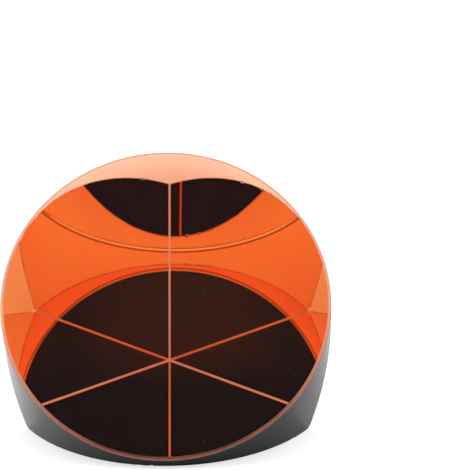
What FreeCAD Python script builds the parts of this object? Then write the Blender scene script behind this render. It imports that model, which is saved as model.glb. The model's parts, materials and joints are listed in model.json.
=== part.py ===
import FreeCAD, Part
import math
import os

import Sketcher

# Corner cube retroreflector: one solid glass prism, in millimetres, +Z up.
# A round blank has a flat front face. Three back faces, at right angles to each other, meet in one
# corner on the blank's axis. In the body's own frame the front face is at z = 0, facing +Z. The
# finished prism lies on one back face at ground level, and its front face looks up and towards -Y.
# The origin is on the ground, under the middle of the prism's box.

# Driving sizes: alias, millimetres, what it measures.
SIZES = (
    ("glass_diameter", 62.0, "across the round wall"),
    ("least_wall", 3.47, "wall left between the front face and the middle of each back face's arc"),
    ("rim_bevel", 0.6, "ground bevel round the front face, the length of each leg"),
    ("edge_bevel", 0.4, "narrow ground flat along each edge between two back faces, its width"),
    ("arc_bevel", 0.2, "ground bevel where the back faces reach the wall, the length of each leg"),
)

NODE = "glass_prism"
BACK_FACES = 3

# Expressions in the sheet's aliases. A back face of a cube corner stands at atan(sqrt(2)) to the
# front face, so it falls by sqrt(2) for each unit from the wall in to the corner.
RADIUS = "Sizes.glass_diameter / 2"
FACE_TILT = "atan(sqrt(2))"
CORNER_DEPTH = "(Sizes.glass_diameter / sqrt(2) + Sizes.least_wall)"
BLANK_DEPTH = CORNER_DEPTH + " + " + RADIUS

# The prism as it lies: how far it reaches forwards and backwards of the front face's centre, and how
# high that centre is.
FRONT_REACH = "(" + RADIUS + " - Sizes.rim_bevel) / sqrt(3)"
BACK_REACH = CORNER_DEPTH + " * sqrt(2 / 3) - Sizes.edge_bevel / 2"
CENTRE_Y = "(" + FRONT_REACH + " - (" + BACK_REACH + ")) / 2"
CENTRE_Z = CORNER_DEPTH + " / sqrt(3)"

# Two places nearer than this are the same place, and volumes nearer than this share are equal.
SAME_PLACE = 1e-4
SAME_VOLUME = 1e-6

# How far the mesh that gives the box may lie from the exact faces.
MESH_ERROR = 0.002


def size_sheet(document):
    """The sheet of driving sizes, one to a row: its words, its number and its alias."""
    sheet = document.addObject("Spreadsheet::Sheet", "Sizes")
    for row, (alias, size, words) in enumerate(SIZES, start=1):
        sheet.set("A%d" % row, words)
        sheet.set("B%d" % row, str(size))
        sheet.setAlias("B%d" % row, alias)
    document.recompute()
    return sheet


def worked_out(sheet, expression):
    """The number that an expression in the sheet's aliases comes to."""
    return float(sheet.evalExpression(expression))


def origin_feature(body, role):
    """One of the body's own origin planes or axes."""
    return next(item for item in body.Origin.OriginFeatures if item.Role == role)


def sketch_on(body, role, name):
    """An empty sketch on one of the body's own origin planes."""
    sketch = body.newObject("Sketcher::SketchObject", name)
    sketch.AttachmentSupport = [(origin_feature(body, role), "")]
    sketch.MapMode = "FlatFace"
    return sketch


def bind(sketch, name, expression, *constraint):
    """Adds a named constraint whose value follows the sheet."""
    index = sketch.addConstraint(Sketcher.Constraint(*constraint))
    sketch.renameConstraint(index, name)
    sketch.setExpression("Constraints." + name, expression)


def round_blank(body, sheet):
    """The blank: a disc on the front plane, padded backwards to well past the corner."""
    radius = worked_out(sheet, RADIUS)
    disc = sketch_on(body, "XY_Plane", "front_disc")
    circle = disc.addGeometry(Part.Circle(FreeCAD.Vector(), FreeCAD.Vector(0, 0, 1), radius), False)
    disc.addConstraint(Sketcher.Constraint("Coincident", circle, 3, -1, 1))
    bind(disc, "wall_radius", RADIUS, "Radius", circle, radius)
    blank = body.newObject("PartDesign::Pad", "round_blank")
    blank.Profile = disc
    blank.Reversed = True
    blank.setExpression("Length", BLANK_DEPTH)
    return blank


def first_back_face(body, sheet):
    """The cut that leaves one back face: all the glass behind a plane through the corner goes.

    The sketch lies in the plane of the axis and of the face's steepest line, and holds the waste: a
    right triangle whose slope passes through the corner and ends on the front plane, outside the
    wall.
    """
    depth = worked_out(sheet, CORNER_DEPTH)
    bottom = worked_out(sheet, BLANK_DEPTH)
    tilt = math.radians(worked_out(sheet, FACE_TILT))
    outside = -depth / math.tan(tilt)
    inside = (bottom - depth) / math.tan(tilt)
    waste = sketch_on(body, "YZ_Plane", "waste_behind_face")
    tips = [FreeCAD.Vector(y, z) for y, z in ((outside, 0), (outside, -bottom), (inside, -bottom))]
    sides = [Part.LineSegment(tips[i], tips[(i + 1) % 3]) for i in range(3)]
    upright, level, slope = waste.addGeometry(sides, False)
    corner = waste.addGeometry(Part.Point(FreeCAD.Vector(0, -depth)), True)
    for side, next_side in ((upright, level), (level, slope), (slope, upright)):
        waste.addConstraint(Sketcher.Constraint("Coincident", side, 2, next_side, 1))
    waste.addConstraint(Sketcher.Constraint("Vertical", upright))
    waste.addConstraint(Sketcher.Constraint("Horizontal", level))
    waste.addConstraint(Sketcher.Constraint("PointOnObject", upright, 1, -1))
    waste.addConstraint(Sketcher.Constraint("PointOnObject", corner, 1, -2))
    waste.addConstraint(Sketcher.Constraint("PointOnObject", corner, 1, slope))
    bind(waste, "corner_depth", CORNER_DEPTH, "DistanceY", corner, 1, -1, 1, depth)
    bind(waste, "blank_depth", BLANK_DEPTH, "DistanceY", level, 1, -1, 1, bottom)
    bind(waste, "face_tilt", FACE_TILT, "Angle", slope, 1, level, 2, tilt)
    cut = body.newObject("PartDesign::Pocket", "first_back_face")
    cut.Profile = waste
    cut.Type = "ThroughAll"
    cut.SideType = "Symmetric"
    return cut


def three_back_faces(body, cut):
    """The same cut three times round the axis, so the faces are at right angles to each other."""
    faces = body.newObject("PartDesign::PolarPattern", "back_faces")
    faces.Originals = [cut]
    faces.Axis = (origin_feature(body, "Z_Axis"), [""])
    faces.Angle = 360
    faces.Occurrences = BACK_FACES
    body.Tip = faces
    return faces


def bevel(body, name, base, wanted, leg):
    """Bevels the edges of the feature before it that the test accepts, with equal legs."""
    body.Document.recompute()
    numbers = [i for i, edge in enumerate(base.Shape.Edges, start=1) if wanted(edge)]
    chamfer = body.newObject("PartDesign::Chamfer", name)
    chamfer.Base = (base, ["Edge%d" % number for number in numbers])
    chamfer.setExpression("Size", leg)
    return chamfer


def ground_bevels(body, sheet, faces):
    """The bevels that keep the glass from chipping: roof edges, arcs on the wall, and front rim."""
    corner = FreeCAD.Vector(0, 0, -worked_out(sheet, CORNER_DEPTH))

    def roof_edge(edge):
        return any(vertex.Point.isEqual(corner, SAME_PLACE) for vertex in edge.Vertexes)

    def wall_arc(edge):
        return isinstance(edge.Curve, Part.Ellipse)

    def front_rim(edge):
        return isinstance(edge.Curve, Part.Circle) and abs(edge.Curve.Center.z) < SAME_PLACE

    roof = bevel(body, "roof_edge_bevels", faces, roof_edge, "Sizes.edge_bevel / sqrt(2)")
    arcs = bevel(body, "wall_arc_bevels", roof, wall_arc, "Sizes.arc_bevel")
    return bevel(body, "front_rim_bevel", arcs, front_rim, "Sizes.rim_bevel")


def lay_down(body):
    """Turns the prism onto its first back face and puts the box's middle over the origin."""
    body.setExpression("Placement.Rotation.Angle", FACE_TILT)
    body.setExpression("Placement.Base.y", CENTRE_Y)
    body.setExpression("Placement.Base.z", CENTRE_Z)


def build_prism(document, sheet):
    """The whole prism, made in the order in which the glass is ground."""
    body = document.addObject("PartDesign::Body", NODE)
    body.Label = NODE
    body.Placement = FreeCAD.Placement(FreeCAD.Vector(), FreeCAD.Rotation(FreeCAD.Vector(1, 0, 0), 1))
    blank = round_blank(body, sheet)
    cut = first_back_face(body, sheet)
    faces = three_back_faces(body, cut)
    body.Tip = ground_bevels(body, sheet, faces)
    lay_down(body)
    document.recompute()
    return body, blank, cut, faces


def check_document(document, body):
    """Every object is up to date, and the prism is one sound solid."""
    for item in document.Objects:
        if "Invalid" in item.State or "Error" in item.State:
            raise RuntimeError("%s failed: %s" % (item.Name, item.State))
    if body.Shape.isNull() or not body.Shape.isValid() or len(body.Shape.Solids) != 1:
        raise RuntimeError("the prism is not one sound solid")


def check_volumes(sheet, blank, cut, faces, body):
    """Each cut took glass away, and the three faces left what the cube corner's formula gives.

    A round blank of radius r that ends in a cube corner h deep holds pi r^2 h - sqrt(6) r^3.
    """
    volumes = [feature.Shape.Volume for feature in (blank, cut, faces, body)]
    if volumes != sorted(volumes, reverse=True) or len(set(volumes)) != len(volumes):
        raise RuntimeError("a cut took nothing away: %s" % volumes)
    radius = worked_out(sheet, RADIUS)
    expected = math.pi * radius**2 * worked_out(sheet, CORNER_DEPTH) - math.sqrt(6) * radius**3
    if abs(faces.Shape.Volume / expected - 1) > SAME_VOLUME:
        raise RuntimeError("cube corner of %.3f mm3, not %.3f" % (faces.Shape.Volume, expected))


def bounds(body):
    """The least and greatest corner of the prism, from a fine mesh of its exact faces."""
    points, _ = body.Shape.tessellate(MESH_ERROR)
    axes = [[point[axis] for point in points] for axis in range(3)]
    return [min(values) for values in axes], [max(values) for values in axes]


os.makedirs("parts", exist_ok=True)
doc = FreeCAD.newDocument("corner_cube_retroreflector")
sizes = size_sheet(doc)
prism, *stages = build_prism(doc, sizes)
check_document(doc, prism)
check_volumes(sizes, *stages, prism)
prism.Shape.exportStep("parts/%s.step" % prism.Label)
low, high = bounds(prism)
print("%s: one solid of %.3f mm3" % (NODE, prism.Shape.Volume))
print("box from (%.3f, %.3f, %.3f) to (%.3f, %.3f, %.3f) mm" % (*low, *high))
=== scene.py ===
import json
import math

import bmesh
import bpy
import numpy as np
from mathutils import Matrix, Vector


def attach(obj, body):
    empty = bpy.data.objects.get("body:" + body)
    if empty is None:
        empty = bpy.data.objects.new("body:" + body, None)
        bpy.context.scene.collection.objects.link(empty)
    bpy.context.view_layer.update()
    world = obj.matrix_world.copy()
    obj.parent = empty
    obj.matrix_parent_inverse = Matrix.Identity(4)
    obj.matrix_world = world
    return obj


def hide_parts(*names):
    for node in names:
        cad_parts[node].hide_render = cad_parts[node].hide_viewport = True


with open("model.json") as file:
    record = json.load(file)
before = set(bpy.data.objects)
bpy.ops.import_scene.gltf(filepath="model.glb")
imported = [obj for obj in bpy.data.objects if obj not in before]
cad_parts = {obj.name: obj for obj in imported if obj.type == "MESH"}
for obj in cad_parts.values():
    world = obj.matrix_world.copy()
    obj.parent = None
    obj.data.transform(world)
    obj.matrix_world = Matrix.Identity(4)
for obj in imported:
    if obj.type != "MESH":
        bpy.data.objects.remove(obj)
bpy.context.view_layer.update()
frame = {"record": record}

# The bare glass.
# One solid prism of optical crown glass, ground from a round blank: a polished front face, three
# polished back faces at right angles to each other, a fine-ground wall and ground bevels along every
# edge, with a thin anti-reflection coat on the front. This body replaces the prism's plain node.
MM = 0.001
mounts = {mount["name"]: mount for mount in frame["record"]["mounts"]}
front_centre = np.array(mounts["front_face"]["pos_m"])
front_normal = np.array(mounts["front_face"]["axis"])
across = np.array([1.0, 0.0, 0.0])
uphill = np.cross(front_normal, across)
wall_radius = mounts["round_wall"]["dims"]["r_mm"] * MM
corner_depth = front_centre[2] * math.sqrt(3)
rim_bevel = 0.6 * MM
edge_bevel = 0.4 * MM
THIRDS = 3
THIRD = 2 * math.pi / THIRDS
FLAT_STEPS = 4
FACE_STEPS = 192
CHIP_SEED = 11
CHIP_SHARE = 0.03
CHIP_GROWTH = 2.8
CHIP_TAIL = 0.5
ARC_DEPTH, TIP_DEPTH = 0.14 * MM, 0.3 * MM
ARC_INSET, TIP_INSET = 0.09 * MM, 0.22 * MM
TIP_REACH = 0.4 * MM
TIP_SIZES = (0.45, 1.3, 1.3)
WELD = 1e-7
SHARP = math.radians(8)


def columns():
    """Directions round the axis, from uphill towards +X, and each column's share of a roof edge.

    Each third of a turn first crosses the narrow flat on a roof edge, share 0 to 1, and then runs
    along the arc of one back face, share 1.
    """
    half_flat = math.asin(edge_bevel / 2 / wall_radius)
    flat = np.linspace(-half_flat, half_flat, FLAT_STEPS, endpoint=False)
    face = np.linspace(half_flat, THIRD - half_flat, FACE_STEPS, endpoint=False)
    share = np.concatenate([np.linspace(0, 1, FLAT_STEPS, endpoint=False), np.ones(FACE_STEPS)])
    turn = np.arange(THIRDS)[:, None] * THIRD
    return (np.concatenate([flat, face]) + turn).ravel(), np.tile(share, THIRDS)


angle, edge_share = columns()
on_flat = edge_share < 1
face_angle = (np.arange(THIRDS) + 0.5) * THIRD
nearest_edge = np.round(angle / THIRD).astype(int) % THIRDS
tip_size = np.array(TIP_SIZES)[nearest_edge]
off_tip = np.abs((angle + THIRD / 2) % THIRD - THIRD / 2) * wall_radius
at_tip = off_tip < TIP_REACH * tip_size


def nibbled(leg, tip_leg):
    """A bevel leg for each column: the plain leg, longer at chips and at the tips of the roof edges.

    A chip multiplies the leg by one plus a random growth, and trails off over the next column.
    """
    luck = np.random.default_rng(CHIP_SEED)
    growth = np.where(luck.random(len(angle)) < CHIP_SHARE, luck.random(len(angle)), 0) * CHIP_GROWTH
    growth = np.maximum(growth, CHIP_TAIL * np.roll(growth, 1))
    return np.where(at_tip, tip_leg * tip_size, leg * (1 + growth))


arc_depth = nibbled(ARC_DEPTH, TIP_DEPTH)
arc_inset = nibbled(ARC_INSET, TIP_INSET)


def roof_height(radius):
    """Height of the back above the cube corner: the highest of three faces and three edge flats.

    A face rises by sqrt(2) times the distance out along its middle, and an edge flat by that
    distance over sqrt(2), from a start set by its width.
    """
    radius = np.broadcast_to(radius, angle.shape)[:, None]
    edge_angle = np.arange(THIRDS) * THIRD
    faces = math.sqrt(2) * radius * np.cos(angle[:, None] - face_angle)
    flats = radius * np.cos(angle[:, None] - edge_angle) / math.sqrt(2) + math.sqrt(1.5) * edge_bevel / 2
    return np.maximum(faces.max(1), flats.max(1))


def ring(radius, depth):
    """Points at a radius from the axis and a depth behind the front plane, one for each column."""
    depth = np.broadcast_to(depth, angle.shape)
    return np.stack([radius * np.sin(angle), radius * np.cos(angle), -depth], axis=1)


def back_rings(inset):
    """Rings from the wall's back edge in to the cube corner, for a surface this far inside the glass.

    Moving every back face inwards by the inset moves the corner forwards by sqrt(3) times as much.
    The last ring but one is the corner flat's edge: a single point for each face, and a straight
    line from point to point across each roof edge.
    """
    depth = corner_depth - math.sqrt(3) * inset
    radius = wall_radius - inset
    tip = edge_bevel / math.sqrt(3)
    points = np.stack([tip * np.sin(face_angle), tip * np.cos(face_angle)], axis=1)
    third = np.repeat(np.arange(THIRDS), FLAT_STEPS + FACE_STEPS)
    share = edge_share[:, None]
    corner = points[third - 1] * (1 - share) + points[third] * share
    corner_height = np.full((len(angle), 1), edge_bevel * math.sqrt(2 / 3))
    return [
        ring(radius, depth - roof_height(radius) - arc_depth),
        ring(radius - arc_inset, depth - roof_height(radius - arc_inset)),
        np.hstack([corner, corner_height - depth]),
        ring(0.0, depth - corner_height[0, 0]),
    ]


def ringed_body(name, rings, bands):
    """A closed mesh: each ring of columns joined to the next by quads, faces pointing outwards.

    bands gives, for each gap between two rings, its material, the material at the roof edges, and
    the columns that count as those. Rings that shrink to points are merged.
    """
    local = np.stack(rings)
    count, wide = local.shape[:2]
    points = local.reshape(-1, 3) @ np.stack([across, uphill, front_normal]) + front_centre
    band, column = np.meshgrid(np.arange(count - 1), np.arange(wide), indexing="ij")
    here, after = band * wide + column, band * wide + (column + 1) % wide
    quads = np.stack([here, after, after + wide, here + wide], axis=-1).reshape(-1, 4)
    materials = list(dict.fromkeys(material for plain, edge, _ in bands for material in (plain, edge)))
    number = np.array([[materials.index(plain), materials.index(edge)] for plain, edge, _ in bands])
    mesh = bpy.data.meshes.new(name)
    mesh.from_pydata(points.tolist(), [], quads.tolist())
    at_edge = np.array([edges for _, _, edges in bands])
    picked = number[band.ravel(), at_edge.ravel().astype(int)]
    mesh.polygons.foreach_set("material_index", picked.astype(np.int32))
    for material in materials:
        mesh.materials.append(material)
    merged = bmesh.new()
    merged.from_mesh(mesh)
    bmesh.ops.remove_doubles(merged, verts=merged.verts, dist=WELD)
    merged.to_mesh(mesh)
    merged.free()
    mesh.set_sharp_from_angle(angle=SHARP)
    body = bpy.data.objects.new(name, mesh)
    bpy.context.scene.collection.objects.link(body)
    return body


def add_node(tree, kind, inputs=None, **settings):
    """A shader node with these settings. Each input is a plain value or another node's output."""
    node = tree.nodes.new("ShaderNode" + kind)
    for name, value in settings.items():
        setattr(node, name, value)
    for key, value in (inputs or {}).items():
        if isinstance(value, bpy.types.NodeSocket):
            tree.links.new(value, node.inputs[key])
        else:
            node.inputs[key].default_value = value
    return node


def worked_out(tree, operation, *values):
    """The output of a Math node that works on these values, in their order."""
    return add_node(tree, "Math", dict(enumerate(values)), operation=operation).outputs["Value"]


def ramp(tree, value, start, stop, first=0.0, last=1.0, ease="LINEAR"):
    """A value brought from one range into another: first up to start, and last from stop on."""
    ends = {"Value": value, "From Min": start, "From Max": stop, "To Min": first, "To Max": last}
    return add_node(tree, "MapRange", ends, interpolation_type=ease).outputs["Result"]


def effect_group(name, inputs, result):
    """An empty effect: a node group with these number inputs and one number output."""
    group = bpy.data.node_groups.new(name, "ShaderNodeTree")
    for words, value in inputs.items():
        socket = group.interface.new_socket(words, in_out="INPUT", socket_type="NodeSocketFloat")
        socket.default_value = value
    group.interface.new_socket(result, in_out="OUTPUT", socket_type="NodeSocketFloat")
    start = group.nodes.new("NodeGroupInput")
    end = group.nodes.new("NodeGroupOutput")
    return group, start.outputs, end.inputs


def grain_effect():
    """Fractal noise of a given size, with its usual range spread between a low and a high value."""
    usual_low, usual_high = 0.3, 0.7
    group, given, result = effect_group("grain", {"Per metre": 100.0, "Low": 0.0, "High": 1.0}, "Value")
    place = add_node(group, "TexCoord").outputs["Object"]
    noise = add_node(group, "TexNoise", {"Vector": place, "Scale": given["Per metre"], "Detail": 4.0})
    spread = ramp(group, noise.outputs["Fac"], usual_low, usual_high, given["Low"], given["High"])
    group.links.new(spread, result["Value"])
    return group


def speck_effect():
    """Small round specks, here and there: 1 within a given share of a random point's cell, 0 beyond."""
    group, given, result = effect_group("specks", {"Per metre": 400.0, "Size": 0.04}, "Mask")
    place = add_node(group, "TexCoord").outputs["Object"]
    cells = add_node(group, "TexVoronoi", {"Vector": place, "Scale": given["Per metre"]})
    inside = worked_out(group, "LESS_THAN", cells.outputs["Distance"], given["Size"])
    group.links.new(inside, result["Mask"])
    return group


grain = grain_effect()
specks = speck_effect()


def effect(material, group, **values):
    """Places an effect in a material with its own values and gives its output."""
    node = add_node(material.node_tree, "Group", node_tree=group)
    for words, value in values.items():
        node.inputs[words.replace("_", " ")].default_value = value
    return node.outputs[0]


def finish(name, **values):
    """A new material and its Principled shader, with the shader's plain values set by name."""
    material = bpy.data.materials.new(name)
    material.use_nodes = True
    shader = material.node_tree.nodes["Principled BSDF"]
    for words, value in values.items():
        shader.inputs[words.replace("_", " ")].default_value = value
    return material, shader


def two_tones(material, shader, mask, first, second):
    """Lets a mask turn the shader's colour from the first tone into the second."""
    mix = add_node(material.node_tree, "Mix", {0: mask, 6: (*first, 1), 7: (*second, 1)}, data_type="RGBA")
    material.node_tree.links.new(mix.outputs[2], shader.inputs["Base Color"])


def bumped(material, shader, height, distance):
    """Lets a height stand up from the surface by up to the distance."""
    bump = add_node(material.node_tree, "Bump", {"Height": height, "Distance": distance, "Strength": 1.0})
    material.node_tree.links.new(bump.outputs["Normal"], shader.inputs["Normal"])


FIRST_MATT = 0.5


def open_to_light(material, clear_shader, tint):
    """Lets light that has already met a matt surface leave the glass straight, as if it were open.

    Without it, hardly any light finds its way to the ground wall inside. The tint is fitted,
    and stands in for light that real glass gathers there, so it may pass 1.
    """
    tree = material.node_tree
    path = add_node(tree, "LightPath").outputs
    after_matt = worked_out(tree, "GREATER_THAN", path["Diffuse Depth"], FIRST_MATT)
    either = worked_out(tree, "MAXIMUM", path["Is Shadow Ray"], after_matt)
    straight = add_node(tree, "BsdfTransparent", {"Color": tint})
    mix = add_node(tree, "MixShader", {0: either, 1: clear_shader, 2: straight.outputs["BSDF"]})
    tree.links.new(mix.outputs["Shader"], tree.nodes["Material Output"].inputs["Surface"])


GLASS_IOR = 1.5168
COATED_REFLECTION = (0.2, 0.21, 0.23, 1)
BARE = (1, 1, 1, 1)
GATHER = 1.5
DUST_ROUGHNESS = 0.6
PIT_DEPTH = 0.004 * MM
SLANT_CLEAR, SLANT_FROSTED = 0.1, 0.38
polished_glass, shader = finish(
    "polished_glass",
    Base_Color=BARE,
    IOR=GLASS_IOR,
    Transmission_Weight=1.0,
    Specular_Tint=COATED_REFLECTION,
)
dust = effect(polished_glass, specks, Per_metre=400, Size=0.022)
dull = ramp(polished_glass.node_tree, dust, 0.0, 1.0, 0.0, DUST_ROUGHNESS)
polished_glass.node_tree.links.new(dull, shader.inputs["Roughness"])
open_to_light(polished_glass, shader.outputs["BSDF"], (GATHER, GATHER, GATHER, 1))

ground_glass, inside = finish(
    "ground_glass", Base_Color=(1.0, 0.86, 0.92, 1), Roughness=0.22, IOR=GLASS_IOR, Transmission_Weight=1.0
)
tree = ground_glass.node_tree
clear = add_node(
    tree,
    "BsdfPrincipled",
    {
        "Base Color": (0.92, 0.82, 0.82, 1),
        "Roughness": 0.28,
        "IOR": GLASS_IOR,
        "Transmission Weight": 1.0,
    },
)
# Frost with painted glow: its orange colour is painted light from the copper wall inside, scattered out
# through the ground glass. It shows where the bevel is seen at a slant.
frost_and_painted_glow = add_node(
    tree,
    "BsdfPrincipled",
    {
        "Base Color": (1.0, 0.39, 0.22, 1),
        "Roughness": 0.5,
        "IOR": GLASS_IOR,
        "Sheen Weight": 1.0,
        "Sheen Roughness": 0.3,
    },
)
pits = effect(ground_glass, grain, Per_metre=9000)
bump = add_node(tree, "Bump", {"Height": pits, "Distance": PIT_DEPTH, "Strength": 1.0})
for shader in (clear, frost_and_painted_glow):
    tree.links.new(bump.outputs["Normal"], shader.inputs["Normal"])
slant = add_node(tree, "LayerWeight", {"Blend": 0.5}).outputs["Facing"]
frosted = ramp(tree, slant, SLANT_CLEAR, SLANT_FROSTED, ease="SMOOTHSTEP")
outside = add_node(tree, "MixShader", {0: frosted, 1: clear.outputs["BSDF"], 2: frost_and_painted_glow.outputs["BSDF"]})
side = add_node(tree, "NewGeometry").outputs["Backfacing"]
both = add_node(tree, "MixShader", {0: side, 1: outside.outputs["Shader"], 2: inside.outputs["BSDF"]})
open_to_light(ground_glass, both.outputs["Shader"], (1.2, 1.12, 1.1, 1))

GLASS_INSET = 0.03 * MM
glass = ringed_body(
    "prism_glass",
    [
        ring(0.0, 0.0),
        ring(wall_radius - rim_bevel, 0.0),
        ring(wall_radius - GLASS_INSET, rim_bevel - GLASS_INSET),
        *back_rings(GLASS_INSET),
    ],
    [
        (polished_glass, polished_glass, on_flat),
        (ground_glass, ground_glass, on_flat),
        (ground_glass, ground_glass, on_flat),
        (ground_glass, ground_glass, on_flat),
        (polished_glass, ground_glass, on_flat),
        (ground_glass, ground_glass, on_flat),
    ],
)
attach(glass, "root")
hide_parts("glass_prism")

# The coat on the back.
# Copper film on the three polished faces and copper paint on the ground wall, sealed together under
# satin black lacquer that laps a little onto the front bevel. From inside the glass the polished faces
# are copper mirrors, and the ground wall and bevels are matt orange copper.
COAT_DEPTH = 0.06 * MM
LAP = 0.3 * MM
LAP_SINK = 0.02 * MM
PEEL_DEPTH = 0.006 * MM
WALL_PIT_DEPTH = 0.001 * MM

copper_mirror, shader = finish("copper_mirror", Metallic=1.0, Roughness=0.0)
cloud = effect(copper_mirror, grain, Per_metre=90)
two_tones(copper_mirror, shader, cloud, (0.950, 0.490, 0.205), (0.960, 0.518, 0.220))

ground_copper, shader = finish("ground_copper", Roughness=1.0, Specular_IOR_Level=0.0)
cloud = effect(ground_copper, grain, Per_metre=55)
two_tones(ground_copper, shader, cloud, (0.98, 0.67, 0.495), (1.0, 0.725, 0.55))

roof_copper, shader = finish("roof_copper", Roughness=1.0, Specular_IOR_Level=0.0)
cloud = effect(roof_copper, grain, Per_metre=500)
two_tones(roof_copper, shader, cloud, (0.57, 0.245, 0.152), (0.67, 0.285, 0.176))

arc_copper, shader = finish("arc_copper", Roughness=1.0, Specular_IOR_Level=0.0)
cloud = effect(arc_copper, grain, Per_metre=700)
two_tones(arc_copper, shader, cloud, (0.30, 0.10, 0.05), (0.75, 0.40, 0.25))

# Painted shade: the copper paint that laps onto the bevel is darker than on the wall, for the shade it
# lies in.
lap_copper_painted_shade, shader = finish("lap_copper_painted_shade", Roughness=1.0, Specular_IOR_Level=0.0)
cloud = effect(lap_copper_painted_shade, grain, Per_metre=900)
two_tones(lap_copper_painted_shade, shader, cloud, (0.55, 0.25, 0.14), (0.66, 0.32, 0.19))

lap_edge, shader = finish("lap_edge", Roughness=0.6, Specular_IOR_Level=0.3)
cloud = effect(lap_edge, grain, Per_metre=900)
two_tones(lap_edge, shader, cloud, (0.20, 0.068, 0.048), (0.28, 0.10, 0.075))

lacquer_face, shader = finish("lacquer_face", Specular_IOR_Level=0.12)
dust = effect(lacquer_face, specks, Per_metre=420, Size=0.045)
two_tones(lacquer_face, shader, dust, (0.006, 0.006, 0.0085), (0.10, 0.10, 0.11))
cloud = effect(lacquer_face, grain, Per_metre=70, Low=0.32, High=0.42)
lacquer_face.node_tree.links.new(cloud, shader.inputs["Roughness"])
peel = effect(lacquer_face, grain, Per_metre=650)
bumped(lacquer_face, shader, peel, PEEL_DEPTH)

lacquer_wall, shader = finish("lacquer_wall", Specular_IOR_Level=0.12)
cloud = effect(lacquer_wall, grain, Per_metre=120)
two_tones(lacquer_wall, shader, cloud, (0.011, 0.011, 0.013), (0.016, 0.016, 0.0185))
cloud = effect(lacquer_wall, grain, Per_metre=150, Low=0.08, High=0.13)
lacquer_wall.node_tree.links.new(cloud, shader.inputs["Roughness"])
pits = effect(lacquer_wall, grain, Per_metre=5000)
bumped(lacquer_wall, shader, pits, WALL_PIT_DEPTH)

lacquer_edge, shader = finish("lacquer_edge", Specular_IOR_Level=0.6)
cloud = effect(lacquer_edge, grain, Per_metre=600)
two_tones(lacquer_edge, shader, cloud, (0.024, 0.0235, 0.027), (0.072, 0.07, 0.077))
cloud = effect(lacquer_edge, grain, Per_metre=400, Low=0.35, High=0.5)
lacquer_edge.node_tree.links.new(cloud, shader.inputs["Roughness"])

coat = ringed_body(
    "back_coat",
    [
        *back_rings(COAT_DEPTH)[::-1],
        ring(wall_radius - COAT_DEPTH, rim_bevel),
        ring(wall_radius - LAP, rim_bevel - LAP + COAT_DEPTH),
        ring(wall_radius - LAP, rim_bevel - LAP + LAP_SINK),
        ring(wall_radius, rim_bevel),
        *back_rings(0.0),
    ],
    [
        (roof_copper, roof_copper, on_flat),
        (copper_mirror, roof_copper, on_flat),
        (arc_copper, ground_copper, at_tip),
        (ground_copper, ground_copper, on_flat),
        (lap_copper_painted_shade, lap_copper_painted_shade, on_flat),
        (lap_copper_painted_shade, lap_copper_painted_shade, on_flat),
        (lap_edge, lap_edge, on_flat),
        (lacquer_wall, lacquer_wall, on_flat),
        (lacquer_edge, lacquer_edge, on_flat),
        (lacquer_face, lacquer_edge, on_flat),
        (lacquer_edge, lacquer_edge, on_flat),
    ],
)
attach(coat, "root")

# The table.
# A white paper sweep under and behind the prism, which ends a little way in front of it. In the gloss
# of the wall it shows brighter on the left, which stands in for light from that side.
FLOOR_REACH = 3.0
FLOOR_FRONT = 0.05
FADE_REACH = 0.04
SEEN_LIFT, CLEAR_LIFT, LEFT_LIFT = 0.6, 0.2, 0.25
floor_mesh = bpy.data.meshes.new("sweep")
floor_mesh.from_pydata(
    [
        (-FLOOR_REACH, -FLOOR_FRONT, 0),
        (FLOOR_REACH, -FLOOR_FRONT, 0),
        (FLOOR_REACH, FLOOR_REACH, 0),
        (-FLOOR_REACH, FLOOR_REACH, 0),
    ],
    [],
    [(0, 1, 2, 3)],
)
floor = bpy.data.objects.new("sweep", floor_mesh)
bpy.context.scene.collection.objects.link(floor)
white_paper, shader = finish(
    "white_paper", Base_Color=(0.9, 0.9, 0.9, 1), Roughness=1.0, Specular_IOR_Level=0.0
)
tree = white_paper.node_tree
seen = add_node(tree, "LightPath").outputs
place = add_node(tree, "TexCoord").outputs["Object"]
aside = add_node(tree, "SeparateXYZ", {0: place}).outputs["X"]
fade = ramp(tree, aside, -FADE_REACH, 0.0, LEFT_LIFT, 0.0)
lift = worked_out(tree, "MULTIPLY", seen["Is Camera Ray"], SEEN_LIFT)
lift = worked_out(tree, "MULTIPLY_ADD", seen["Is Transmission Ray"], CLEAR_LIFT, lift)
lift = worked_out(tree, "MULTIPLY_ADD", seen["Is Glossy Ray"], fade, lift)
shader.inputs["Emission Color"].default_value = (1, 1, 1, 1)
tree.links.new(lift, shader.inputs["Emission Strength"])
floor_mesh.materials.append(white_paper)

# The light.
# A white tent with a dark opening towards the camera. The prism sends light back to where it came
# from, so the opening is what the back faces show. Only mirror, glass and gloss see it: matt surfaces
# are lit by a plain white tent, a little dimmer overhead.
OPENING_EDGE, LOW_EDGE = (28, 35), (18, 28)
LOW_HEIGHT = -4
GLOW_TOP = (0.2480, 0.2585)
GLOW_TURN, GLOW_HEIGHT, GLOW_EDGE = 1.45, 14.1, (0.0, 1.4)
GLOW_LEVEL, DARK_LEVEL = 0.027, 0.0055
CEILING_RISE, CEILING_LEVEL = (0.35, 0.78), 0.9
SIDE_REACH, RIGHT_LEVEL = 0.9, 0.45
ROOF_RISE, ROOF_LEVEL = (0.3, 1.0), 0.75
world = bpy.data.worlds.new("tent")
bpy.context.scene.world = world
world.use_nodes = True
tree = world.node_tree
direction = add_node(tree, "TexCoord").outputs["Generated"]
sideways, _, rise = add_node(tree, "SeparateXYZ", {0: direction}).outputs


def opening(centre, edge):
    """0 within a round opening in the tent and 1 beyond it.

    edge gives the two angles from its centre, in degrees, between which it softly changes.
    """
    along = add_node(tree, "VectorMath", {0: direction, 1: centre}, operation="DOT_PRODUCT")
    inner, outer = (math.cos(math.radians(value)) for value in edge)
    return ramp(tree, along.outputs["Value"], outer, inner, 1.0, 0.0, "SMOOTHSTEP")


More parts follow.
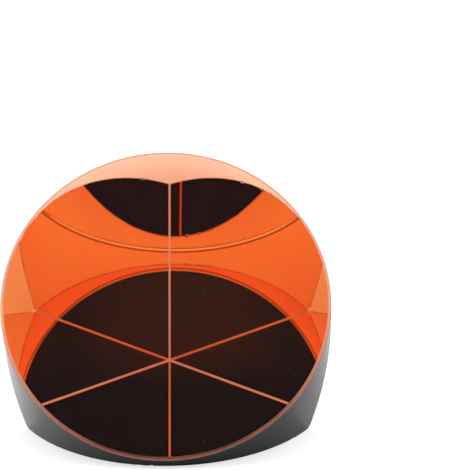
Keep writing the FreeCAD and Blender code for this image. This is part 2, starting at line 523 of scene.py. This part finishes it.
def pointing(turn, height):
    """The way out to the front, turned towards +X and raised by these angles in degrees."""
    turn, height = math.radians(turn), math.radians(height)
    return math.sin(turn) * math.cos(height), -math.cos(turn) * math.cos(height), math.sin(height)


def blended(share, first, second):
    """The first value where the share is 0, and the second where it is 1."""
    return add_node(tree, "Mix", {0: share, 2: first, 3: second}, data_type="FLOAT").outputs[0]


white = worked_out(
    tree,
    "MULTIPLY",
    opening(tuple(front_normal), OPENING_EDGE),
    opening(pointing(0, LOW_HEIGHT), LOW_EDGE),
)

# The opening is black from the glow's top up to the ceiling. Below, a faint glow fades out round the
# camera's direction. Its levels are a fit, and don't say what stood there.
below_top = ramp(tree, rise, *GLOW_TOP, 1.0, 0.0, "SMOOTHSTEP")
spot = opening(pointing(GLOW_TURN, GLOW_HEIGHT), GLOW_EDGE)
glow = ramp(tree, spot, 0.0, 1.0, GLOW_LEVEL, DARK_LEVEL)
dark = worked_out(tree, "MULTIPLY", below_top, glow)
inside_opening = ramp(tree, rise, *CEILING_RISE, dark, CEILING_LEVEL, "SMOOTHSTEP")
tent_wall = ramp(tree, sideways, -SIDE_REACH, SIDE_REACH, 1.0, RIGHT_LEVEL)
reflected = blended(white, inside_opening, tent_wall)

path = add_node(tree, "LightPath").outputs
shiny = worked_out(tree, "MAXIMUM", path["Is Glossy Ray"], path["Is Transmission Ray"])
before_matt = worked_out(tree, "LESS_THAN", path["Diffuse Depth"], FIRST_MATT)
mirrored = worked_out(tree, "MULTIPLY", shiny, before_matt)
roof = ramp(tree, rise, *ROOF_RISE, 1.0, ROOF_LEVEL, "SMOOTHSTEP")
plain = blended(path["Is Camera Ray"], roof, 1.0)
background = tree.nodes["Background"]
tree.links.new(blended(mirrored, plain, reflected), background.inputs["Color"])
background.inputs["Strength"].default_value = 1.0
world.cycles.sampling_method = "NONE"

# The camera.
# It looks at the prism from the front and a little above, from 0.9 m away.
YAW, ELEVATION, ROLL = 1.653, 13.898, -0.359
DISTANCE = 0.9005
PIXELS_PER_METRE = 5344.4
FRAME_PIXELS = 470
TARGET_PIXEL = (165.66, 305.25)
TARGET_HEIGHT = 0.027
SENSOR = 36.0
NEAREST, FARTHEST = 0.01, 10.0
MOST_BOUNCES, CLEAR_BOUNCES, MATT_BOUNCES = 24, 16, 6
turn, roll = math.radians(YAW), math.radians(ROLL)
back = Vector(pointing(YAW, ELEVATION))
level = Vector((math.cos(turn), math.sin(turn), 0))
upright = back.cross(level)
right = level * math.cos(roll) + upright * math.sin(roll)
over = upright * math.cos(roll) - level * math.sin(roll)
target = Vector((0, front_centre[1], TARGET_HEIGHT))
eye = target + back * DISTANCE
aim = (
    target
    + right * (FRAME_PIXELS / 2 - TARGET_PIXEL[0]) / PIXELS_PER_METRE
    - over * (FRAME_PIXELS / 2 - TARGET_PIXEL[1]) / PIXELS_PER_METRE
)
lens = bpy.data.cameras.new("camera")
lens.sensor_width = SENSOR
lens.lens = PIXELS_PER_METRE * DISTANCE / FRAME_PIXELS * SENSOR
lens.clip_start, lens.clip_end = NEAREST, FARTHEST
camera = bpy.data.objects.new("camera", lens)
bpy.context.scene.collection.objects.link(camera)
toward = (eye - aim).normalized()
side = over.cross(toward).normalized()
camera.matrix_world = Matrix((side, toward.cross(side), toward)).transposed().to_4x4()
camera.location = eye
bpy.context.scene.camera = camera

# Light meets the mirrors and the glass many times before it leaves, so it gets bounces enough.
scene = bpy.context.scene
scene.view_settings.view_transform = "Standard"
scene.cycles.max_bounces = MOST_BOUNCES
scene.cycles.glossy_bounces = CLEAR_BOUNCES
scene.cycles.transmission_bounces = CLEAR_BOUNCES
scene.cycles.transparent_max_bounces = CLEAR_BOUNCES
scene.cycles.diffuse_bounces = MATT_BOUNCES
